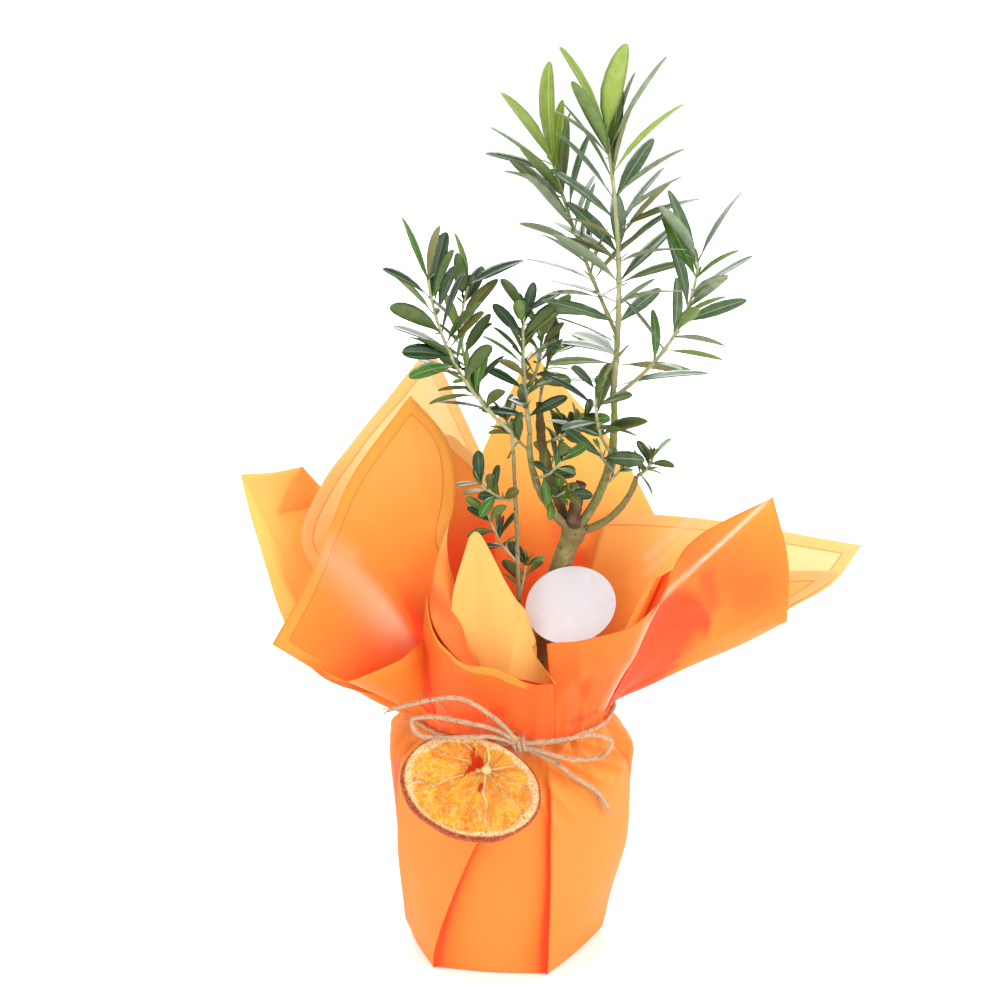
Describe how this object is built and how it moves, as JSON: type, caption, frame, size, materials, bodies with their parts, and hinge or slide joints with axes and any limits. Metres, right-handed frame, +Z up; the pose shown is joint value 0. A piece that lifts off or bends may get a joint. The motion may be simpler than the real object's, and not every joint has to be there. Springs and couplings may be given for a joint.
{
  "type": "olive bonsai in a wrapped pot",
  "caption": "Young olive tree with several stems in a nursery pot, dressed in gathered florist film with a twine bow, a dried orange slice and a bare card tag; stands on a table.",
  "frame": {"origin": "on the surface that the part stands on, under the middle of the pot", "axes": "+Z up, +X to the right and -Y towards the front, where the bow and the orange slice are"},
  "size_m": [0.3179, 0.1696, 0.4637],
  "materials": {
    "pot": "matt dark nursery pot",
    "soil": "crumbly moist potting mix",
    "film": "satin, orange outside and yellow inside",
    "twine": "hairy twisted jute",
    "slice": "dried fruit, wrinkled",
    "tag": "plain smooth card",
    "bark": "olive green to brown bark with pale specks",
    "dead_bark": "rough dark bark",
    "shoot_bark": "smooth green shoot bark",
    "foliage": "leathery leaves, glossy above and grey-green below"
  },
  "bodies": {
    "root": {"pot": "pot", "soil": "soil", "film_skirt": "film", "film_front": "film", "film_front_left": "film", "film_front_right": "film", "film_right_front": "film", "film_right_back": "film", "film_back_right": "film", "film_back_left": "film", "film_left": "film", "twine_band": "twine", "twine_knot": "twine", "twine_loop_left": "twine", "twine_loop_right": "twine", "twine_tail_left": "twine", "twine_tail_right": "twine", "orange_slice": "slice", "tag": "tag", "trunk": "bark", "cut_stub": "dead_bark", "bough_right": "bark", "bough_right_low": "bark", "bough_left": "bark", "bough_old": "dead_bark", "basal_shoot": "shoot_bark", "foliage_leader": "foliage", "foliage_right": "foliage", "foliage_right_low": "foliage", "foliage_middle": "foliage", "foliage_left": "foliage", "sprig_right_bough": "foliage", "sprig_right_pair": "foliage", "sprig_right_foot": "foliage", "sprig_old_tip": "foliage", "sprig_old_mid": "foliage", "sprig_old_foot": "foliage", "sprig_left_bough": "foliage", "sprig_left_bough_high": "foliage", "sprig_left_bough_low": "foliage", "sprig_basal_high": "foliage", "sprig_basal_mid": "foliage", "sprig_basal_low": "foliage"}
  },
  "joints": []
}
